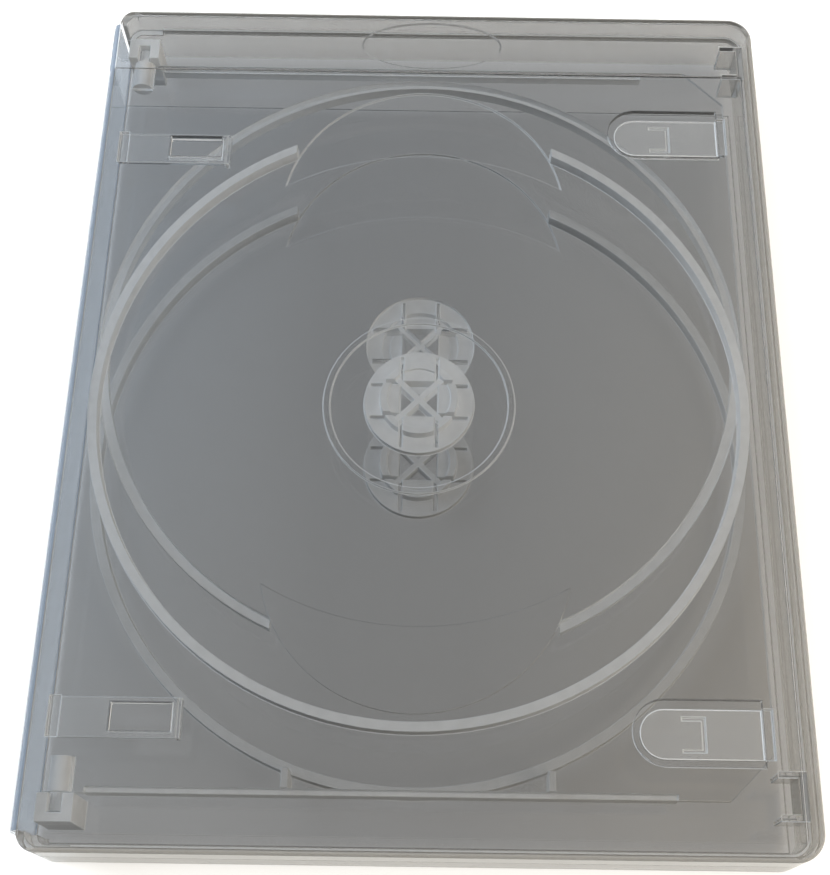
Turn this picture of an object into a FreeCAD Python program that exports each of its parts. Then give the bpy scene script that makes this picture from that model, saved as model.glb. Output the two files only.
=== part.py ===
import FreeCAD, Part
import os
import re

doc = FreeCAD.newDocument("disc_case")

# Driving dimensions in millimetres. The case lies on its back: X runs from the spine to the
# opening edge, Y to the header edge, Z from the back cover up to the front cover. The outside,
# 135 by 171.5 by 15, follows from the disc rims, the steps between the discs and their heights.
sizes = {
    "rim_radius": 60.6,
    "rim_width": 1.8,
    "rim_over": 0.2,
    "rim_gap_half": 26,
    "spine_side": 3.9,
    "latch_side": 6.3,
    "far_side": 12.95,
    "near_side": 10.95,
    "disc_step": 22.8,
    "front_step": 12.9,
    "disc_thickness": 1.2,
    "seat_radius": 10.5,
    "seat_rise": 1.2,
    "hub_radius": 7.4,
    "hub_rise": 2.1,
    "hub_gap": 1.1,
    "crown_gap": 0.9,
    "hub_wall": 1.4,
    "finger_half": 3,
    "finger_reach": 3.6,
    "finger_drop": 0.6,
    "slot_width": 0.7,
    "slot_start": 4.6,
    "slot_end": 9.3,
    "spoke_width": 1.2,
    "ring_radius": 17,
    "ring_width": 1.3,
    "ring_rise": 0.4,
    "grip_radius": 28.6,
    "grip_inset": 17.6,
    "grip_bite": 4.6,
    "grip_depth": 0.4,
    "corner_radius": 5,
    "hinge_corner": 3.5,
    "edge_round": 0.6,
    "panel": 1.1,
    "lid_wall": 0.9,
    "lip_thickness": 0.7,
    "lip_height": 1.6,
    "lip_start": 8,
    "lip_clearance": 0.3,
    "parting_height": 8.5,
    "parting_gap": 0.15,
    "hinge_radius": 1.5,
    "hinge_web": 0.45,
    "spine_thickness": 1.4,
    "spine_gap": 0.3,
    "film": 0.15,
    "film_recess": 0.3,
    "film_border": 3,
    "film_margin": 0.2,
    "header": 15,
    "pad_length": 29,
    "pad_width": 11.6,
    "pad_shift": 0.6,
    "pad_depth": 0.25,
    "tray_thickness": 1.2,
    "tray_left_gap": 3.6,
    "tray_right_gap": 6.1,
    "tray_end_gap": 10.35,
    "tray_chamfer": 8,
    "flange_width": 1.2,
    "flange_drop": 2.2,
    "flange_left": 57,
    "flange_right": 44.5,
    "pin_inset": 6.5,
    "pin_radius": 1.5,
    "pin_length": 3.2,
    "pin_fit": 0.05,
    "barrel_wall": 0.7,
    "barrel_length": 6,
    "bearing_gap": 0.3,
    "bearing_wall": 1.7,
    "bearing_floor": 1.6,
    "bearing_over": 1.2,
    "bearing_slot": 2.4,
    "post_width": 1.3,
    "post_length": 3.4,
    "post_gap": 0.1,
    "post_side": 23,
    "post_inset": 13.5,
    "clip_gap": 0.4,
    "clip_thickness": 0.8,
    "clip_root": 1.8,
    "tongue_inset": 7,
    "tongue_length": 18.5,
    "tongue_half": 4.3,
    "window_gap": 1.3,
    "barb_inset": 12,
    "barb_width": 0.6,
    "barb_drop": 0.7,
    "barb_half": 3,
    "barb_reach": 3.4,
    "far_tongue_inset": 29.25,
    "near_tongue_inset": 20.95,
    "loop_inset": 4.2,
    "loop_length": 22.6,
    "loop_half": 3.5,
    "loop_bar": 1.6,
    "loop_side": 1.1,
    "loop_hole": 10.5,
    "loop_lip": 0.9,
    "loop_drop": 1.2,
    "far_loop_inset": 33.75,
    "near_loop_inset": 22.45,
    "latch_inset": 10.75,
    "latch_half": 4,
    "latch_thickness": 1.2,
    "latch_drop": 6.6,
    "latch_rib": 0.9,
    "latch_reach": 4.6,
    "latch_clearance": 0.3,
}

# Sizes, places and heights that follow from the driving dimensions
places = {
    "rim_outer": "rim_radius + rim_width",
    "half_width": "rim_outer + (spine_side + latch_side) / 2",
    "half_length": "rim_outer + (disc_step + far_side + near_side) / 2",
    "disc_x": "(spine_side - latch_side) / 2",
    "rear_y": "half_length - far_side - rim_outer",
    "back_y": "rear_y - disc_step",
    "front_y": "rear_y - front_step",
    "back_inner": "film_recess + panel",
    "tray_level": "back_inner + 2 * seat_rise + disc_thickness + hub_rise + hub_gap",
    "tray_top": "tray_level + tray_thickness",
    "lid_inner": "tray_top + seat_rise + hub_rise + crown_gap",
    "case_depth": "lid_inner + panel + film_recess",
    "rim_rise": "seat_rise + disc_thickness + rim_over",
    "base_wall": "lid_wall + lip_clearance + lip_thickness",
    "lip_inset": "lid_wall + lip_clearance",
    "lip_top": "parting_height + lip_height",
    "lid_foot": "parting_height + parting_gap",
    "hinge_x": "hinge_radius - half_width",
    "wall_start": "hinge_x + spine_gap",
    "front_bend": "case_depth - hinge_radius",
    "spine_half": "half_length - hinge_corner",
    "film_near": "film_border - half_length",
    "film_far": "half_length - header",
    "film_right": "half_width - film_border",
    "tray_half": "half_length - tray_end_gap",
    "pin_x": "pin_inset - half_width",
    "pin_z": "tray_level + tray_thickness / 2",
    "pin_tip": "tray_half + pin_length",
    "bearing_start": "tray_half + bearing_gap",
    "bearing_hole_end": "pin_tip + bearing_gap",
    "bearing_end": "bearing_hole_end + bearing_floor",
    "bearing_top": "pin_z + pin_radius + bearing_over",
    "clip_top": "lid_inner - clip_gap",
    "clip_foot": "clip_top - clip_thickness",
    "tongue_end": "half_width - tongue_inset",
    "tongue_tip": "tongue_end - tongue_length",
    "loop_start": "loop_inset - half_width",
    "loop_end": "loop_start + loop_length",
    "latch_out": "half_width - base_wall - latch_clearance",
    "latch_near": "half_length - latch_inset - latch_half",
}

dims = doc.addObject("Spreadsheet::Sheet", "dims")
for row, (alias, number) in enumerate(sizes.items(), 1):
    dims.set(f"A{row}", alias)
    dims.set(f"B{row}", str(number))
    dims.setAlias(f"B{row}", alias)
doc.recompute()


def formula(words):
    # Turns the named sizes and places in an expression into cells of the sheet
    def cell(match):
        word = match.group()
        if word in places:
            return f"({formula(places[word])})"
        return f"dims.{word}" if word in sizes else word
    return re.sub(r"[a-z]\w*", cell, words)


def value(words):
    return float(dims.evalExpression(formula(words)))


def bind(item, prop, words):
    item.setExpression(prop, formula(words))


def box(name, x_range, y_range, z_range):
    item = doc.addObject("Part::Box", name)
    for prop, axis, (low, high) in zip(("Length", "Width", "Height"), "xyz", (x_range, y_range, z_range)):
        bind(item, prop, f"({high}) - ({low})")
        bind(item, f"Placement.Base.{axis}", low)
    return item


def cylinder(name, radius, centre, z_range):
    item = doc.addObject("Part::Cylinder", name)
    bind(item, "Radius", radius)
    bind(item, "Height", f"({z_range[1]}) - ({z_range[0]})")
    for axis, place in zip("xyz", (*centre, z_range[0])):
        bind(item, f"Placement.Base.{axis}", place)
    return item


def oval(name, half_x, half_y, centre, z_range):
    curve = doc.addObject("Part::Ellipse", name + "_curve")
    bind(curve, "MajorRadius", half_x)
    bind(curve, "MinorRadius", half_y)
    for axis, place in zip("xyz", (*centre, z_range[0])):
        bind(curve, f"Placement.Base.{axis}", place)
    item = doc.addObject("Part::Extrusion", name)
    item.Base = curve
    item.DirMode = "Custom"
    item.Dir = FreeCAD.Vector(0, 0, 1)
    item.FaceMakerClass = "Part::FaceMakerBullseye"
    item.Solid = True
    bind(item, "LengthFwd", f"({z_range[1]}) - ({z_range[0]})")
    return item


def shaft(name, radius, centre, y_range):
    # A cylinder that lies along Y
    item = doc.addObject("Part::Cylinder", name)
    item.Placement = FreeCAD.Placement(FreeCAD.Vector(), FreeCAD.Rotation(FreeCAD.Vector(1, 0, 0), -90))
    bind(item, "Radius", radius)
    bind(item, "Height", f"({y_range[1]}) - ({y_range[0]})")
    for axis, place in zip("xyz", (centre[0], y_range[0], centre[1])):
        bind(item, f"Placement.Base.{axis}", place)
    return item


def fuse(name, pieces):
    item = doc.addObject("Part::MultiFuse", name)
    item.Shapes = pieces
    item.Refine = True
    return item


def cut(name, base, tools):
    item = doc.addObject("Part::Cut", name)
    item.Base = base
    item.Tool = tools[0] if len(tools) == 1 else fuse(name + "_tools", tools)
    item.Refine = True
    return item


def common(name, base, tool):
    item = doc.addObject("Part::Common", name)
    item.Base = base
    item.Tool = tool
    return item


def mirrored(low, high, side):
    # A range along an axis, turned over for the negative side
    return (low, high) if side > 0 else (f"-({high})", f"-({low})")


def rounded(name, base, left_radius, right_radius):
    # Rounds the upright edges of a block in plan
    doc.recompute()
    middle = base.Shape.BoundBox.Center.x
    edges = []
    for number, edge in enumerate(base.Shape.Edges, 1):
        upright = edge.BoundBox.ZLength > base.Shape.BoundBox.ZLength / 2
        radius = left_radius if edge.CenterOfMass.x < middle else right_radius
        if upright and radius > 0:
            edges.append((number, radius, radius))
    item = doc.addObject("Part::Fillet", name)
    item.Base = base
    item.Edges = edges
    return item


def softened(name, base, level):
    # Rounds the outer edges of a face at one level, apart from its left side
    doc.recompute()
    radius = value("edge_round")
    left = base.Shape.BoundBox.XMin
    edges = []
    for number, edge in enumerate(base.Shape.Edges, 1):
        flat = abs(edge.BoundBox.ZMin - level) + abs(edge.BoundBox.ZMax - level) < radius / 10
        if flat and edge.CenterOfMass.x > left + radius / 10:
            edges.append((number, radius, radius))
    item = doc.addObject("Part::Fillet", name)
    item.Base = base
    item.Edges = edges
    return item


def plan_block(name, start, inset, z_range, left_radius=0.0):
    # A block with the plan of the case, set in from its outer faces by a wall
    side = f"half_length - {inset}"
    block = box(name + "_block", (start, f"half_width - {inset}"), (f"-({side})", side), z_range)
    return rounded(name, block, left_radius, value(f"corner_radius - {inset}"))


def outer_block(name, z_range, level):
    # The outside of a cover: softened edges, and rounded corners at the hinge side too
    long_block = plan_block(name + "_long", "hinge_x - case_depth", "0", z_range)
    trim_box = box(name + "_trim_box", ("hinge_x", "2 * half_width"), ("-half_length", "half_length"), z_range)
    trim = rounded(name + "_trim", trim_box, value("hinge_corner"), 0.0)
    return common(name, softened(name + "_soft", long_block, value(level)), trim)


def inner_room(name, wall, z_range):
    # The hollow of a cover, open to the spine between its corner returns
    corner = max(value(f"hinge_corner - {wall}"), value("edge_round"))
    hollow = plan_block(name + "_hollow", f"wall_start + {wall}", wall, z_range, corner)
    mouth_x = ("hinge_x - panel", f"wall_start + {wall} + corner_radius")
    mouth = box(name + "_mouth", mouth_x, ("-spine_half", "spine_half"), z_range)
    slit = box(name + "_slit", ("hinge_x - panel", "wall_start"), ("-half_length", "half_length"), z_range)
    return [hollow, mouth, slit]


def disc_hub(name, centre_y, face, side):
    # A raised seat with a crown of four fingers, on a panel face; side is 1 upwards, -1 downwards
    def span(rise):
        level = f"{face} + {rise}" if side > 0 else f"{face} - ({rise})"
        return (face, level) if side > 0 else (level, face)

    centre = ("disc_x", centre_y)
    crown_z = span("(seat_rise + hub_rise)")
    finger_z = span("(seat_rise + hub_rise - finger_drop)")
    spoke_z = span("(seat_rise + hub_rise / 2)")
    seat = cylinder(name + "_seat", "seat_radius", centre, span("seat_rise"))
    crown = cylinder(name + "_crown", "hub_radius", centre, crown_z)
    bore = cylinder(name + "_bore", "hub_radius - hub_wall", centre, crown_z)
    inner = [cut(name + "_ring", fuse(name + "_solid", [seat, crown]), [bore])]
    slots = []
    for word, way in (("plus", 1), ("minus", -1)):
        reach = mirrored("finger_reach", "hub_radius - hub_wall / 2", way)
        across = ("-finger_half", "finger_half")
        for axis, offsets in (("x", (reach, across)), ("y", (across, reach))):
            x_range = tuple(f"disc_x + ({end})" for end in offsets[0])
            y_range = tuple(f"{centre_y} + ({end})" for end in offsets[1])
            inner.append(box(f"{name}_finger_{axis}_{word}", x_range, y_range, finger_z))
        for flank, edge in (("high", 1), ("low", -1)):
            along = mirrored("slot_start", "slot_end", way)
            beside = mirrored("finger_half", "finger_half + slot_width", edge)
            for axis, offsets in (("x", (along, beside)), ("y", (beside, along))):
                x_range = tuple(f"disc_x + ({end})" for end in offsets[0])
                y_range = tuple(f"{centre_y} + ({end})" for end in offsets[1])
                slots.append(box(f"{name}_slot_{axis}_{word}_{flank}", x_range, y_range, crown_z))
    for turn in (45, 135):
        spoke = doc.addObject("Part::Box", f"{name}_spoke_{turn}")
        turned = FreeCAD.Rotation(FreeCAD.Vector(0, 0, 1), turn)
        spoke.Placement = FreeCAD.Placement(FreeCAD.Vector(), turned)
        half = "(hub_radius - hub_wall / 2)"
        bind(spoke, "Length", f"2 * {half}")
        bind(spoke, "Width", "spoke_width")
        bind(spoke, "Height", f"({spoke_z[1]}) - ({spoke_z[0]})")
        bind(spoke, "Placement.Base.x", f"disc_x - {half} * cos({turn}) + spoke_width / 2 * sin({turn})")
        bind(spoke, "Placement.Base.y", f"{centre_y} - {half} * sin({turn}) - spoke_width / 2 * cos({turn})")
        bind(spoke, "Placement.Base.z", spoke_z[0])
        inner.append(spoke)
    return cut(name, fuse(name + "_rosette", inner), slots)


def disc_rim(name, centre_y, face, side, gap_side):
    # A circular rib round the disc, open where a finger takes its edge
    z_range = (face, f"{face} + rim_rise") if side > 0 else (f"{face} - rim_rise", face)
    centre = ("disc_x", centre_y)
    outer = cylinder(name + "_outer", "rim_outer", centre, z_range)
    hole = cylinder(name + "_hole", "rim_radius", centre, z_range)
    gap_y = tuple(f"{centre_y} + ({end})" for end in mirrored("0", "rim_outer + rim_width", gap_side))
    gap = box(name + "_gap", ("disc_x - rim_gap_half", "disc_x + rim_gap_half"), gap_y, z_range)
    return cut(name, outer, [hole, gap])


def finger_grip(name, centre_y, gap_side, z_range):
    # The lens-shaped hollow beyond the disc's edge where a finger goes in
    place = f"{centre_y} {'+' if gap_side > 0 else '-'} (rim_radius - grip_inset)"
    round_end = cylinder(name + "_round", "grip_radius", ("disc_x", place), z_range)
    disc_side = cylinder(name + "_disc", "rim_radius - grip_bite", ("disc_x", centre_y), z_range)
    return cut(name, round_end, [disc_side])


# Back cover: panel, three walls with a lip, the third disc's seat, tray bearings and tray rests
def back_cover():
    shell = outer_block("back_outer", ("0", "parting_height"), "0")
    lip = plan_block("back_lip", "hinge_x + lip_start", "lip_inset", ("back_inner", "lip_top"))
    room = inner_room("back_room", "base_wall", ("back_inner", "lip_top + panel"))
    pieces = [cut("back_walls", fuse("back_wall_lip", [shell, lip]), room)]
    pieces.append(disc_hub("back_hub", "back_y", "back_inner", 1))
    pieces.append(disc_rim("back_rim", "back_y", "back_inner", 1, 1))
    tools = []
    for word, side in (("far", 1), ("near", -1)):
        block_half = "(pin_radius + bearing_wall)"
        block_y = mirrored("bearing_start", "bearing_end", side)
        hole_y = mirrored("bearing_start", "bearing_hole_end", side)
        block_x = (f"pin_x - {block_half}", f"pin_x + {block_half}")
        slot_x = ("pin_x - bearing_slot / 2", "pin_x + bearing_slot / 2")
        pieces.append(box(f"bearing_{word}", block_x, block_y, ("back_inner", "bearing_top")))
        tools.append(shaft(f"bearing_hole_{word}", "pin_radius + pin_fit", ("pin_x", "pin_z"), hole_y))
        tools.append(box(f"bearing_slot_{word}", slot_x, hole_y, ("pin_z", "bearing_top + panel")))
    post_y = ("post_inset - half_length - post_length / 2", "post_inset - half_length + post_length / 2")
    for flank, across in (("left", -1), ("right", 1)):
        post_x = (f"{across} * post_side - post_width / 2", f"{across} * post_side + post_width / 2")
        pieces.append(box(f"post_{flank}", post_x, post_y, ("back_inner", "tray_level - post_gap")))
    recess_x = ("hinge_x - panel", "film_right")
    tools.append(box("back_film_recess", recess_x, ("film_near", "film_far"), ("-panel", "film_recess")))
    tools.append(finger_grip("back_grip", "back_y", 1, ("back_inner - grip_depth", "back_inner + panel")))
    return cut("back_cover", fuse("back_solid", pieces), tools)


# Front cover: panel with walls, four booklet clips with their windows and two latch tabs
def front_cover():
    block = outer_block("lid_outer", ("lid_foot", "case_depth"), "case_depth")
    tools = inner_room("lid_room", "lid_wall", ("lid_foot - panel", "lid_inner"))
    recess_x = ("hinge_x - panel", "film_right")
    recess_z = ("case_depth - film_recess", "case_depth + panel")
    tools.append(box("lid_film_recess", recess_x, ("film_near", "film_far"), recess_z))
    pad_place = ("0", "half_length - header / 2 - pad_shift")
    pad_z = ("case_depth - pad_depth", "case_depth + panel")
    tools.append(oval("pad", "pad_length / 2", "pad_width / 2", pad_place, pad_z))
    through = ("lid_inner - panel", "case_depth + panel")
    clip_z = ("clip_foot", "clip_top")
    root_z = ("clip_foot", "lid_inner + panel / 2")
    clips = []
    for word, side in (("far", 1), ("near", -1)):
        middle = f"{side} * (half_length - {word}_tongue_inset)"
        sides = (f"{middle} - tongue_half", f"{middle} + tongue_half")
        window = "(tongue_half + window_gap)"
        window_y = (f"{middle} - {window}", f"{middle} + {window}")
        tools.append(box(f"{word}_window", ("tongue_tip", "tongue_end - clip_root"), window_y, through))
        tools.append(cylinder(f"{word}_window_end", window, ("tongue_tip", middle), through))
        clips.append(box(f"{word}_tongue", ("tongue_tip", "tongue_end"), sides, clip_z))
        clips.append(cylinder(f"{word}_tongue_end", "tongue_half", ("tongue_tip", middle), clip_z))
        clips.append(box(f"{word}_tongue_root", ("tongue_end - clip_root", "tongue_end"), sides, root_z))
        bar_x = ("tongue_end - barb_inset", "tongue_end - barb_inset + barb_width")
        barb_z = ("clip_foot - barb_drop", "clip_foot")
        clips.append(box(f"{word}_barb", bar_x, (f"{middle} - barb_half", f"{middle} + barb_half"), barb_z))
        for flank, place in (("low", f"{middle} - barb_half"), ("high", f"{middle} + barb_half - barb_width")):
            rib_x = ("tongue_end - barb_inset - barb_reach", "tongue_end - barb_inset")
            clips.append(box(f"{word}_barb_{flank}", rib_x, (place, f"{place} + barb_width"), barb_z))
        middle = f"{side} * (half_length - {word}_loop_inset)"
        sides = (f"{middle} - loop_half", f"{middle} + loop_half")
        hole_y = (f"{middle} - loop_half + loop_side", f"{middle} + loop_half - loop_side")
        hole_x = ("loop_end - loop_bar - loop_hole", "loop_end - loop_bar")
        plate = box(f"{word}_loop_plate", ("loop_start", "loop_end"), sides, clip_z)
        clips.append(cut(f"{word}_loop", plate, [box(f"{word}_loop_hole", hole_x, hole_y, clip_z)]))
        clips.append(box(f"{word}_loop_root", ("loop_start", "loop_start + clip_root"), sides, root_z))
        lip_z = ("clip_foot - loop_drop", "clip_foot")
        clips.append(box(f"{word}_loop_lip", ("loop_end - loop_lip", "loop_end"), sides, lip_z))
        tools.append(box(f"{word}_loop_window", hole_x, hole_y, through))
        latch_y = mirrored("latch_near", "latch_near + 2 * latch_half", side)
        latch_z = ("lid_inner - latch_drop", "lid_inner + panel / 2")
        clips.append(box(f"{word}_latch", ("latch_out - latch_thickness", "latch_out"), latch_y, latch_z))
        for flank, place in (("in", "latch_near"), ("out", "latch_near + 2 * latch_half - latch_rib")):
            rib_y = mirrored(place, f"{place} + latch_rib", side)
            clips.append(box(f"{word}_latch_{flank}", ("latch_out - latch_reach", "latch_out"), rib_y, latch_z))
    return fuse("front_cover", [cut("lid_shell", block, tools), *clips])


# Spine between the two living hinges, with the film's recess on its outer face
def spine():
    slab_x = ("-half_width", "spine_thickness - half_width")
    slab = box("spine_slab", slab_x, ("-spine_half", "spine_half"), ("hinge_radius", "front_bend"))
    recess_x = ("-half_width - panel", "film_recess - half_width")
    recess = box("spine_film_recess", recess_x, ("film_near", "film_far"), ("0", "case_depth"))
    return cut("spine", slab, [recess])


# Thin web that bends along the edge between the spine and a cover
def hinge_web(name, centre_z, quarter):
    y_range = ("-spine_half", "spine_half")
    outer = shaft(name + "_outer", "hinge_radius - film_recess", ("hinge_x", centre_z), y_range)
    hollow = shaft(name + "_hollow", "hinge_radius - film_recess - hinge_web", ("hinge_x", centre_z), y_range)
    corner = box(name + "_corner", ("hinge_x - hinge_radius", "hinge_x"), y_range, quarter)
    return common(name, cut(name + "_tube", outer, [hollow]), corner)


# Swing tray: plate with a disc seat and finger hollow on each face, flanges, barrels and hinge pins
def disc_tray():
    plate_x = ("tray_left_gap - half_width", "half_width - tray_right_gap")
    plate_z = ("tray_level", "tray_top")
    block = box("tray_block", plate_x, ("-tray_half", "tray_half"), plate_z)
    doc.recompute()
    chamfer = value("tray_chamfer")
    plate = doc.addObject("Part::Chamfer", "tray_plate")
    plate.Base = block
    plate.Edges = [
        (number, chamfer, chamfer)
        for number, edge in enumerate(block.Shape.Edges, 1)
        if edge.BoundBox.ZLength > value("tray_thickness / 2") and edge.CenterOfMass.x > 0
    ]
    front_grip = finger_grip("front_grip", "front_y", 1, ("tray_top - grip_depth", "tray_top + panel"))
    rear_grip = finger_grip("rear_grip", "rear_y", -1, ("tray_level - panel", "tray_level + grip_depth"))
    pieces = [cut("tray_sheet", plate, [front_grip, rear_grip])]
    pieces.append(disc_hub("front_hub", "front_y", "tray_top", 1))
    pieces.append(disc_hub("rear_hub", "rear_y", "tray_level", -1))
    ring_z = ("tray_top", "tray_top + ring_rise")
    ring = cylinder("stop_ring_outer", "ring_radius + ring_width", ("disc_x", "front_y"), ring_z)
    hole = cylinder("stop_ring_hole", "ring_radius", ("disc_x", "front_y"), ring_z)
    pieces.append(cut("stop_ring", ring, [hole]))
    pieces.append(disc_rim("front_rim", "front_y", "tray_top", 1, 1))
    pieces.append(disc_rim("rear_rim", "rear_y", "tray_level", -1, -1))
    for word, side in (("far", 1), ("near", -1)):
        flange_y = mirrored("tray_half - flange_width", "tray_half", side)
        barrel_y = mirrored("tray_half - barrel_length", "tray_half", side)
        pin_y = mirrored("tray_half - barrel_length", "pin_tip", side)
        flange_z = ("tray_level - flange_drop", "tray_level")
        pieces.append(box(f"flange_{word}", ("-flange_left", "flange_right"), flange_y, flange_z))
        pieces.append(shaft(f"barrel_{word}", "pin_radius + barrel_wall", ("pin_x", "pin_z"), barrel_y))
        pieces.append(shaft(f"pin_{word}", "pin_radius", ("pin_x", "pin_z"), pin_y))
    return fuse("disc_tray", pieces)


# Clear film sleeve: one panel in the recess of each cover and of the spine
def sleeve_panel(name, x_range, z_range):
    return box(name, x_range, ("film_near + film_margin", "film_far - film_margin"), z_range)


cover_film_x = ("hinge_x", "film_right - film_margin")
front_film_z = ("case_depth - film_recess", "case_depth - film_recess + film")
spine_film_x = ("film_recess - film - half_width", "film_recess - half_width")
spine_film_z = ("hinge_radius", "front_bend")
nodes = {
    "back_cover": back_cover(),
    "spine": spine(),
    "front_cover": front_cover(),
    "back_hinge": hinge_web("back_hinge", "hinge_radius", ("0", "hinge_radius")),
    "front_hinge": hinge_web("front_hinge", "front_bend", ("front_bend", "case_depth")),
    "disc_tray": disc_tray(),
    "sleeve_front": sleeve_panel("sleeve_front", cover_film_x, front_film_z),
    "sleeve_back": sleeve_panel("sleeve_back", cover_film_x, ("film_recess - film", "film_recess")),
    "sleeve_spine": sleeve_panel("sleeve_spine", spine_film_x, spine_film_z),
}
for label, item in nodes.items():
    item.Label = label
doc.recompute()

for item in doc.Objects:
    if "Invalid" in item.State or "Error" in item.State:
        raise RuntimeError(f"{item.Name} does not compute: {item.State}")
os.makedirs("parts", exist_ok=True)
for label, item in nodes.items():
    if item.Shape.isNull() or not item.Shape.isValid():
        raise RuntimeError(f"{label} has no valid shape")
    print(label, len(item.Shape.Solids), "solids", round(item.Shape.Volume, 1), "mm3")
    item.Shape.exportStep(f"parts/{label}.step")
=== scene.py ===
import math
import bpy
import bmesh
from mathutils import Matrix, Vector, noise


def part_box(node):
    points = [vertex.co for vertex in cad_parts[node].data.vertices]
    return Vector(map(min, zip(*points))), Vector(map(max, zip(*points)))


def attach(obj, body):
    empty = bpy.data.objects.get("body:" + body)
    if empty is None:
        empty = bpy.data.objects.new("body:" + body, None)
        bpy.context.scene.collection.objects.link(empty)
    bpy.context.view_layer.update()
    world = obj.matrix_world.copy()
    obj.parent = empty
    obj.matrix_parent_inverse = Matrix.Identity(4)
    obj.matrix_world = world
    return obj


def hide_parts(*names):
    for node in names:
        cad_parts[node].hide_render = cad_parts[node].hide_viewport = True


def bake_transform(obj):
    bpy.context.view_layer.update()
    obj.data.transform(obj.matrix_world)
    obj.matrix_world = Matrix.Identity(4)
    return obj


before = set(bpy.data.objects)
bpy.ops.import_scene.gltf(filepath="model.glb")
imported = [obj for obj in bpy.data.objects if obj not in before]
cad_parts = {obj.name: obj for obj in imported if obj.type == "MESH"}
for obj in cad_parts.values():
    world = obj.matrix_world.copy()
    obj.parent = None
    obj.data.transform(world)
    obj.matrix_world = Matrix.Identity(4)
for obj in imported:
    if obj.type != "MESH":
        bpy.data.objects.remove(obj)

scene = bpy.context.scene
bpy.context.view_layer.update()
print("frame loaded:", len(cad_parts), "nodes")


def addNode(tree, kind, **sockets):
    node = tree.nodes.new(kind)
    for name, value in sockets.items():
        node.inputs[name.replace("_", " ")].default_value = value
    return node


def addMath(tree, operation, second=None, kind="ShaderNodeMath"):
    node = tree.nodes.new(kind)
    node.operation = operation
    if second is not None:
        node.inputs[1].default_value = second
    return node


def addRange(tree, source, result=(0.0, 1.0)):
    return addNode(tree, "ShaderNodeMapRange", From_Min=source[0], From_Max=source[1],
                   To_Min=result[0], To_Max=result[1])


def addTone(tree, first, second=None):
    tone = tree.nodes.new("ShaderNodeMix")
    tone.data_type = "RGBA"
    tone.inputs["A"].default_value = (*first, 1)
    if second:
        tone.inputs["B"].default_value = (*second, 1)
    return tone


def newFinish(name):
    material = bpy.data.materials.new(name)
    material.use_nodes = True
    return material, material.node_tree


def addPiece(name, shape, finishes, smoothUpTo=35):
    # Turns a finished bmesh into an object at the origin
    mesh = bpy.data.meshes.new(name)
    shape.to_mesh(mesh)
    shape.free()
    for finish in finishes:
        mesh.materials.append(finish)
    mesh.shade_smooth()
    mesh.set_sharp_from_angle(angle=math.radians(smoothUpTo))
    piece = bpy.data.objects.new(name, mesh)
    scene.collection.objects.link(piece)
    return piece


cameraSet = {
    "place": (0.00254, -0.11199, 0.25876),
    "forward": (0.00172, 0.40954, -0.91229),
    "right": (0.99989, 0.01278, 0.00762),
    "sensor": 36,
    "lens": 58.67,
    "shift": (-0.03, -0.05),
    "nearest": 0.005,
}


def placeCamera(settings):
    data = bpy.data.cameras.new("photoCamera")
    data.sensor_width = settings["sensor"]
    data.lens = settings["lens"]
    data.shift_x, data.shift_y = settings["shift"]
    data.clip_start = settings["nearest"]
    camera = bpy.data.objects.new("photoCamera", data)
    scene.collection.objects.link(camera)
    back = -Vector(settings["forward"]).normalized()
    right = Vector(settings["right"])
    right = (right - back * right.dot(back)).normalized()
    turned = Matrix((right, back.cross(right), back)).transposed().to_4x4()
    camera.matrix_world = Matrix.Translation(settings["place"]) @ turned
    scene.camera = camera


floorSet = {"colour": (0.88, 0.88, 0.88), "lift": 0.23, "reach": 20.0, "drop": 0.0002}


def layFloor(settings):
    # Pale floor; the lift whitens it where it is seen, and adds no light to the case
    shape = bmesh.new()
    bmesh.ops.create_grid(shape, x_segments=1, y_segments=1, size=settings["reach"])
    material, tree = newFinish("paleFloor")
    links = tree.links
    tree.nodes.remove(tree.nodes["Principled BSDF"])
    diffuse = addNode(tree, "ShaderNodeBsdfDiffuse", Color=(*settings["colour"], 1))
    glow = addNode(tree, "ShaderNodeEmission", Color=(1, 1, 1, 1))
    path = tree.nodes.new("ShaderNodeLightPath")
    seen = addMath(tree, "MAXIMUM")
    through = addMath(tree, "MAXIMUM")
    lift = addMath(tree, "MULTIPLY", settings["lift"])
    both = tree.nodes.new("ShaderNodeAddShader")
    links.new(path.outputs["Is Camera Ray"], seen.inputs[0])
    links.new(path.outputs["Is Glossy Ray"], seen.inputs[1])
    links.new(seen.outputs[0], through.inputs[0])
    links.new(path.outputs["Is Transmission Ray"], through.inputs[1])
    links.new(through.outputs[0], lift.inputs[0])
    links.new(lift.outputs[0], glow.inputs["Strength"])
    links.new(diffuse.outputs[0], both.inputs[0])
    links.new(glow.outputs[0], both.inputs[1])
    links.new(both.outputs[0], tree.nodes["Material Output"].inputs["Surface"])
    floor = addPiece("floor", shape, [material])
    floor.location.z = -settings["drop"]


worldSet = {
    "cool": (0.68, 0.84, 1.0),
    "warm": (1.0, 0.84, 0.6),
    "drift": (0.8, -0.6, 0.0),  # the way from cool to warm
    "driftReach": (-0.45, 0.05),
    "horizon": (0.93, 0.94, 0.94),
    "horizonReach": (0.55, 0.85),
    "strength": (0.6, 0.25),  # at the horizon and overhead
    "strengthReach": (0.1, 0.8),
    "spineSide": (0.5, 0.0),
    "spineReach": (-0.3, -0.08),
    "openSide": (0.0, 0.28),
    "openReach": (0.02, 0.25),
}


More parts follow.
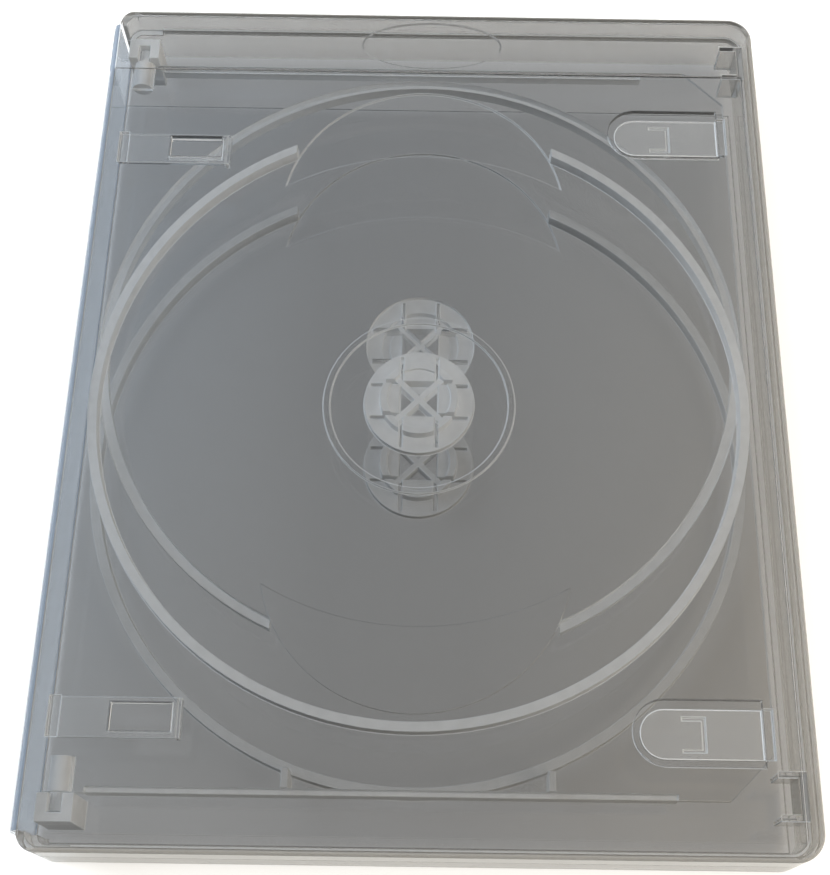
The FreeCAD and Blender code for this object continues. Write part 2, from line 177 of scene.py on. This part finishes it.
def setWorld(settings):
    # Room light, brighter towards the horizon and the two sides
    # Overhead it goes from cool at the spine and the head to warm on the opposite side
    world = bpy.data.worlds.new("studio")
    world.use_nodes = True
    scene.world = world
    tree = world.node_tree
    links = tree.links
    ground = tree.nodes["Background"]
    where = tree.nodes.new("ShaderNodeTexCoord")
    parts = tree.nodes.new("ShaderNodeSeparateXYZ")
    drift = addMath(tree, "DOT_PRODUCT", settings["drift"], "ShaderNodeVectorMath")
    side = addRange(tree, settings["driftReach"])
    spine = addRange(tree, settings["spineReach"], settings["spineSide"])
    opening = addRange(tree, settings["openReach"], settings["openSide"])
    level = addRange(tree, settings["strengthReach"], settings["strength"])
    both = addMath(tree, "ADD")
    whole = addMath(tree, "ADD")
    tone = addTone(tree, settings["cool"], settings["warm"])
    above = addRange(tree, settings["horizonReach"])
    sky = addTone(tree, settings["horizon"])
    links.new(where.outputs["Generated"], parts.inputs[0])
    links.new(where.outputs["Generated"], drift.inputs[0])
    links.new(drift.outputs["Value"], side.inputs["Value"])
    links.new(side.outputs[0], tone.inputs["Factor"])
    links.new(parts.outputs["Z"], above.inputs["Value"])
    links.new(above.outputs[0], sky.inputs["Factor"])
    links.new(tone.outputs["Result"], sky.inputs["B"])
    links.new(sky.outputs["Result"], ground.inputs["Color"])
    links.new(parts.outputs["Z"], level.inputs["Value"])
    links.new(parts.outputs["X"], spine.inputs["Value"])
    links.new(parts.outputs["X"], opening.inputs["Value"])
    links.new(spine.outputs[0], both.inputs[0])
    links.new(opening.outputs[0], both.inputs[1])
    links.new(both.outputs[0], whole.inputs[0])
    links.new(level.outputs[0], whole.inputs[1])
    links.new(whole.outputs[0], ground.inputs["Strength"])


lampSet = {
    "windowLight": {"place": (-0.65, 0.35, 0.45), "target": (0, 0.35, 0), "size": (0.9, 0.35),
                    "colour": (0.82, 0.91, 1.0), "power": 8.5},
    "warmFill": {"place": (0.6, -0.2, 0.42), "target": (0, 0, 0), "size": (0.6, 0.3),
                 "colour": (1.0, 0.91, 0.78), "power": 5},
}


def softLight(name, settings):
    data = bpy.data.lights.new(name, "AREA")
    data.shape = "RECTANGLE"
    data.size, data.size_y = settings["size"]
    data.color = settings["colour"]
    data.energy = settings["power"]
    lamp = bpy.data.objects.new(name, data)
    scene.collection.objects.link(lamp)
    lamp.location = settings["place"]
    aim = Vector(settings["target"]) - Vector(settings["place"])
    lamp.rotation_euler = aim.to_track_quat("-Z", "Y").to_euler()
    lamp.visible_glossy = False  # the plastic mirrors the soft room, not the lamp's outline
    lamp.visible_transmission = False


placeCamera(cameraSet)
layFloor(floorSet)
setWorld(worldSet)
for lampName, lampSettings in lampSet.items():
    softLight(lampName, lampSettings)
print("camera, floor and light placed")

plasticSet = {
    "ior": 1.49,
    "rough": 0.0,
    "milk": (0.98, 0.985, 0.99),
    "behind": 0.15,  # share of the scattered light that comes from behind
    "upright": (0.2, 0.95),
    "fade": 0.0002,
    "grain": 500,
    "cloud": (0.3, 0.7),
    "patches": (0.95, 1.03),
}
# wall: tone of the upright faces; darker and warmer on the lid and back as painted shade with a painted warm
# reflection
layerSet = {  # flat: heights of the clear panel, in mm
    "lid": {"tint": (0.92, 0.92, 0.92), "wall": (0.76, 0.75, 0.735), "haze": (0.0, 0.09),
            "pass": 0.87, "flat": (13.4, 15.2)},
    "back": {"tint": (0.88, 0.88, 0.88), "wall": (0.76, 0.75, 0.735), "haze": (0.0, 0.75),
             "pass": 0.62, "flat": (-2.0, 1.6)},
    "tray": {"tint": (0.92, 0.92, 0.92), "wall": (0.94, 0.94, 0.94), "haze": (0.0, 0.88),
             "pass": 0.87, "flat": (7.9, 9.9)},
}


def clearShader(tree, rough):
    shader = tree.nodes["Principled BSDF"]
    shader.distribution = "GGX"
    shader.inputs["IOR"].default_value = plasticSet["ior"]
    shader.inputs["Transmission Weight"].default_value = 1.0
    shader.inputs["Roughness"].default_value = rough
    return shader


def mixMilk(tree, shader, milky, colour):
    # Light scattered inside the plastic, part of it from behind
    near = addNode(tree, "ShaderNodeBsdfDiffuse", Color=(*colour, 1))
    far = addNode(tree, "ShaderNodeBsdfTranslucent", Color=(*colour, 1))
    milk = addNode(tree, "ShaderNodeMixShader", Fac=plasticSet["behind"])
    tree.links.new(near.outputs[0], milk.inputs[1])
    tree.links.new(far.outputs[0], milk.inputs[2])
    tree.links.new(shader.outputs[0], milky.inputs[1])
    tree.links.new(milk.outputs[0], milky.inputs[2])


def passLamps(tree, shader, share):
    # Lamps shine through with a little lost at each face
    path = tree.nodes.new("ShaderNodeLightPath")
    lamps = addNode(tree, "ShaderNodeBsdfTransparent", Color=(share, share, share, 1))
    both = tree.nodes.new("ShaderNodeMixShader")
    tree.links.new(path.outputs["Is Shadow Ray"], both.inputs[0])
    tree.links.new(shader.outputs[0], both.inputs[1])
    tree.links.new(lamps.outputs[0], both.inputs[2])
    tree.links.new(both.outputs[0], tree.nodes["Material Output"].inputs["Surface"])


def clearPlastic(name, settings, layer):
    # Clear panels, with milky upright walls and ribs that stand off the panel. Upright faces take the layer's
    # wall tone, which on the lid and back is darker and warmer than the panel: painted shade with a painted warm
    # reflection
    material, tree = newFinish(name)
    links = tree.links
    shader = clearShader(tree, settings["rough"])
    where = tree.nodes.new("ShaderNodeTexCoord")
    facing = tree.nodes.new("ShaderNodeSeparateXYZ")
    height = tree.nodes.new("ShaderNodeSeparateXYZ")
    low, high = (level / 1000 for level in layer["flat"])
    reach = (high - low) / 2
    flat = addMath(tree, "ABSOLUTE")
    upright = addRange(tree, settings["upright"], (1.0, 0.0))
    away = addMath(tree, "SUBTRACT", (low + high) / 2)
    span = addMath(tree, "ABSOLUTE")
    raised = addRange(tree, (reach, reach + settings["fade"]))
    rib = addMath(tree, "MAXIMUM")
    # upright faces take the wall tone: painted shade on the lid and back
    tone = addTone(tree, layer["tint"], layer["wall"])
    haze = addRange(tree, (0.0, 1.0), layer["haze"])
    cloud = addNode(tree, "ShaderNodeTexNoise", Scale=settings["grain"], Detail=0.0)
    patchy = addRange(tree, settings["cloud"], settings["patches"])
    dose = addMath(tree, "MULTIPLY")
    milky = tree.nodes.new("ShaderNodeMixShader")
    links.new(where.outputs["Normal"], facing.inputs[0])
    links.new(facing.outputs["Z"], flat.inputs[0])
    links.new(flat.outputs[0], upright.inputs["Value"])
    links.new(where.outputs["Object"], height.inputs[0])
    links.new(height.outputs["Z"], away.inputs[0])
    links.new(away.outputs[0], span.inputs[0])
    links.new(span.outputs[0], raised.inputs["Value"])
    links.new(upright.outputs[0], rib.inputs[0])
    links.new(raised.outputs[0], rib.inputs[1])
    links.new(rib.outputs[0], haze.inputs["Value"])
    links.new(upright.outputs[0], tone.inputs["Factor"])
    links.new(tone.outputs["Result"], shader.inputs["Base Color"])
    links.new(where.outputs["Object"], cloud.inputs["Vector"])
    links.new(cloud.outputs[0], patchy.inputs["Value"])
    links.new(haze.outputs[0], dose.inputs[0])
    links.new(patchy.outputs[0], dose.inputs[1])
    links.new(dose.outputs[0], milky.inputs[0])
    mixMilk(tree, shader, milky, settings["milk"])
    passLamps(tree, milky, layer["pass"])
    return material


evenSet = {
    # spine: hazy, with a darker blue-grey tint that is painted shade
    "spine": {"tint": (0.64, 0.68, 0.73), "milk": (0.9, 0.95, 1.0),
              "haze": 0.08, "pass": 0.75, "rough": 0.05},
    # hinge: dark blue-grey, painted shade
    "hinge": {"tint": (0.36, 0.42, 0.5), "milk": (0.4, 0.46, 0.54),
              "haze": 0.45, "pass": 0.75, "rough": 0.0},
    # wall: dark brownish grey, painted shade with a painted warm reflection on the outer walls
    "wall": {"tint": (0.62, 0.61, 0.6), "milk": (0.52, 0.505, 0.47),
             "haze": 0.32, "pass": 0.75, "rough": 0.0},
    # pale: white milky eased edges, a painted highlight
    "pale": {"tint": (0.97, 0.98, 1.0), "milk": (0.96, 0.98, 1.0),
             "haze": 0.9, "pass": 0.94, "rough": 0.12},
    # dim: dark eased edges on shallow steps, painted shade
    "dim": {"tint": (0.3, 0.305, 0.315), "milk": (0.4, 0.41, 0.42),
            "haze": 0.1, "pass": 0.94, "rough": 0.05},
}


def evenPlastic(name, settings):
    # The same all over: spine, hinges, outer walls, and eased edges, pale on deep forms and dim on shallow
    # steps. The darker spine, hinge and wall tints are painted shade, the pale edges a painted highlight and the
    # dim edges painted shade
    material, tree = newFinish(name)
    shader = clearShader(tree, settings["rough"])
    shader.inputs["Base Color"].default_value = (*settings["tint"], 1)
    milky = addNode(tree, "ShaderNodeMixShader", Fac=settings["haze"])
    mixMilk(tree, shader, milky, settings["milk"])
    passLamps(tree, milky, settings["pass"])
    return material


sheetSet = {"tint": (0.97, 0.972, 0.975), "gloss": 0.035, "rough": 0.0, "blend": 0.5, "steep": 5.0}


def clearFilm(name, settings):
    # Thin clear sheet: straight through, with a gloss that grows towards its edge-on view
    material, tree = newFinish(name)
    links = tree.links
    tree.nodes.remove(tree.nodes["Principled BSDF"])
    through = addNode(tree, "ShaderNodeBsdfTransparent", Color=(*settings["tint"], 1))
    gloss = addNode(tree, "ShaderNodeBsdfGlossy", Color=(1, 1, 1, 1), Roughness=settings["rough"])
    slant = addNode(tree, "ShaderNodeLayerWeight", Blend=settings["blend"])
    steep = addMath(tree, "POWER", settings["steep"])
    edge = addRange(tree, (0.0, 1.0), (settings["gloss"], 1.0))
    both = tree.nodes.new("ShaderNodeMixShader")
    links.new(slant.outputs["Facing"], steep.inputs[0])
    links.new(steep.outputs[0], edge.inputs["Value"])
    links.new(edge.outputs[0], both.inputs[0])
    links.new(through.outputs[0], both.inputs[1])
    links.new(gloss.outputs[0], both.inputs[2])
    links.new(both.outputs[0], tree.nodes["Material Output"].inputs["Surface"])
    return material


lidPlastic = clearPlastic("hazyLid", plasticSet, layerSet["lid"])
backPlastic = clearPlastic("hazyBack", plasticSet, layerSet["back"])
trayPlastic = clearPlastic("hazyTray", plasticSet, layerSet["tray"])
spinePlastic = evenPlastic("hazyShadedSpine", evenSet["spine"])
hingePlastic = evenPlastic("shadedHinge", evenSet["hinge"])
wallPlastic = evenPlastic("shadedWall", evenSet["wall"])
filmPlastic = clearFilm("glossFilm", sheetSet)
paintedHighlightEdge = evenPlastic("paintedHighlightEdge", evenSet["pale"])
paintedShadeEdge = evenPlastic("paintedShadeEdge", evenSet["dim"])
print("plastics mixed")

# Moulded pieces: the solids with their sharp edges eased; the eased strips are pale, a painted highlight, but
# not on shallow steps, which on the covers are dim as painted shade. On the covers the faces near the outline
# take the dark wall finish, painted shade
mouldSet = {
    "ease": 0.00017,
    "segments": 2,
    "corner": 40,  # degrees
    "flatWithin": 0.5,  # degrees
    "smooth": 32,  # degrees
    "weld": 2e-6,
    "fold": 4e-8,
    "spare": 0.0004,
    "tries": 5,
    "border": 0.004,
    "hingeLine": 0.001,
    "weight": 80,
}
# Heights of the shallow steps, in mm
quietSet = {"frontCover": (14.4, 16), "backCover": (-1, 0.6), "spineWall": (3, 12), "discTray": (8.0, 8.7)}


def easeEdges(node, settings):
    # Where an eased edge would fold a face over, the edges around that place stay sharp
    corner = math.radians(settings["corner"])
    spared = []
    for attempt in range(settings["tries"]):
        shape = bmesh.new()
        shape.from_mesh(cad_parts[node].data)
        bmesh.ops.remove_doubles(shape, verts=shape.verts, dist=settings["weld"])
        bmesh.ops.dissolve_limit(shape, angle_limit=math.radians(settings["flatWithin"]),
                                 verts=shape.verts, edges=shape.edges)
        kept = {vert for vert in shape.verts
                if any((vert.co - place).length < settings["spare"] for place in spared)}
        sharp = [edge for edge in shape.edges
                 if edge.is_manifold and edge.calc_face_angle() > corner
                 and not kept.intersection(edge.verts)]
        eased = bmesh.ops.bevel(shape, geom=sharp, offset=settings["ease"], offset_type="OFFSET",
                                affect="EDGES", segments=settings["segments"], profile=0.5,
                                material=-1, clamp_overlap=False, loop_slide=True)
        shape.normal_update()
        folded = []
        for loops in shape.calc_loop_triangles():
            corners = [loop.vert.co.copy() for loop in loops]
            normal = (corners[1] - corners[0]).cross(corners[2] - corners[0])
            if normal.length > settings["fold"] and normal.dot(loops[0].face.normal) < 0:
                folded += corners
        print(node, len(sharp), "edges eased,", len(folded) // 3, "folds")
        if not folded or attempt == settings["tries"] - 1:
            return shape, eased["faces"]
        spared += folded
        shape.free()


def mouldedPiece(name, node, body, finish, quietFinish, wallFinish, settings):
    shape, strips = easeEdges(node, settings)
    low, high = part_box(node)
    quietLow, quietHigh = (height / 1000 for height in quietSet[name])
    plain, pale, quiet, wall = range(4)
    for face in shape.faces:
        face.material_index = plain
    # pale strips are a painted highlight; quiet strips on the covers are dim, painted shade
    for face in strips:
        place = face.calc_center_median()
        shallow = quietLow < place.z < quietHigh and place.x - low.x > settings["hingeLine"]
        face.material_index = quiet if shallow else pale
    finishes = [finish, paintedHighlightEdge, quietFinish]
    if wallFinish:
        finishes.append(wallFinish)
        # faces near the outline take the dark wall finish: painted shade
        for face in shape.faces:
            place = face.calc_center_median()
            inside = min(high.x - place.x, high.y - place.y, place.y - low.y)
            if inside < settings["border"] and face.material_index != quiet:
                face.material_index = wall
    piece = addPiece(name, shape, finishes, settings["smooth"])
    even = piece.modifiers.new("evenShading", "WEIGHTED_NORMAL")
    even.keep_sharp = True
    even.weight = settings["weight"]
    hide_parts(node)
    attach(piece, body)
    print(name, len(piece.data.polygons), "faces")


mouldedPiece("frontCover", "front_cover", "front_cover", lidPlastic, paintedShadeEdge, wallPlastic, mouldSet)
mouldedPiece("backCover", "back_cover", "back_cover", backPlastic, paintedShadeEdge, wallPlastic, mouldSet)
mouldedPiece("spineWall", "spine", "spine", spinePlastic, spinePlastic, None, mouldSet)
mouldedPiece("discTray", "disc_tray", "disc_tray", trayPlastic, trayPlastic, None, mouldSet)

# Film sleeve: a thin sheet over each cover and the spine, a hair off the plastic
filmSet = {"gap": 0.00003, "sheet": 0.00008, "step": 0.006, "wave": 0.00002, "ripple": 60}


def filmSheet(name, node, body, outward, settings):
    low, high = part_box(node)
    size = high - low
    middle = (low + high) / 2
    axis = max(range(3), key=lambda i: abs(outward[i]))
    first, second = (i for i in range(3) if i != axis)
    counts = [max(2, round(size[i] / settings["step"])) for i in (first, second)]
    shape = bmesh.new()
    bmesh.ops.create_grid(shape, x_segments=counts[0], y_segments=counts[1], size=0.5)
    face = low[axis] if outward[axis] > 0 else high[axis]
    for vert in shape.verts:
        place = Vector((0, 0, 0))
        place[first] = middle[first] + vert.co.x * size[first]
        place[second] = middle[second] + vert.co.y * size[second]
        wave = noise.noise(place * settings["ripple"]) * settings["wave"]
        place[axis] = face + outward[axis] * (settings["gap"] + settings["wave"] + wave)
        vert.co = place
    bmesh.ops.recalc_face_normals(shape, faces=shape.faces)
    normal = next(iter(shape.faces)).normal
    if normal.dot(Vector(outward)) < 0:
        bmesh.ops.reverse_faces(shape, faces=shape.faces)
    bmesh.ops.solidify(shape, geom=shape.faces[:], thickness=-settings["sheet"])
    bmesh.ops.recalc_face_normals(shape, faces=shape.faces)
    piece = addPiece(name, shape, [filmPlastic])
    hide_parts(node)
    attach(piece, body)


filmSheet("frontFilm", "sleeve_front", "front_cover", (0, 0, 1), filmSet)
filmSheet("backFilm", "sleeve_back", "back_cover", (0, 0, -1), filmSet)
filmSheet("spineFilm", "sleeve_spine", "spine", (-1, 0, 0), filmSet)
print("film sleeve laid")

# Living hinges: a thin web and the film's fold over it, bending between a cover and the spine. The web's dark
# blue-grey finish is painted shade
hingeSet = {"radius": 0.0015, "web": (0.00075, 0.0012), "fold": (0.00124, 0.00133), "steps": 14, "weld": 1e-7}


def hingeStrip(name, node, settings, up):
    low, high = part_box(node)
    filmLow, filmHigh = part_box("sleeve_spine")
    centre = Vector((high.x, 0, low.z if up > 0 else high.z))
    layers = ((settings["web"], (low.y, high.y)), (settings["fold"], (filmLow.y, filmHigh.y)))
    shape = bmesh.new()
    for slotNumber, (span, ends) in enumerate(layers):
        corners = [centre + Vector((-radius, y, 0)) for radius in span for y in ends]
        verts = [shape.verts.new(corners[i]) for i in (0, 1, 3, 2)]
        section = shape.faces.new(verts)
        section.material_index = slotNumber
        start = [section, *section.edges, *section.verts]
        bmesh.ops.spin(shape, geom=start, cent=centre, axis=(0, up, 0), angle=math.pi / 2,
                       steps=settings["steps"])
    bmesh.ops.remove_doubles(shape, verts=shape.verts, dist=settings["weld"])
    bmesh.ops.recalc_face_normals(shape, faces=shape.faces)
    piece = addPiece(name, shape, [hingePlastic, filmPlastic])
    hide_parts(node)
    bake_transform(piece)


hingeStrip("frontHingeWeb", "front_hinge", hingeSet, 1)
hingeStrip("backHingeWeb", "back_hinge", hingeSet, -1)
print("hinge webs made")

scene.view_settings.view_transform = "Standard"
scene.cycles.max_bounces = 10
scene.cycles.transmission_bounces = 10
scene.cycles.transparent_max_bounces = 32
scene.cycles.glossy_bounces = 2
scene.cycles.diffuse_bounces = 1
scene.cycles.caustics_refractive = False  # lamps already pass the plastic
scene.cycles.caustics_reflective = False
scene.cycles.sample_clamp_indirect = 6
scene.cycles.blur_glossy = 0.0
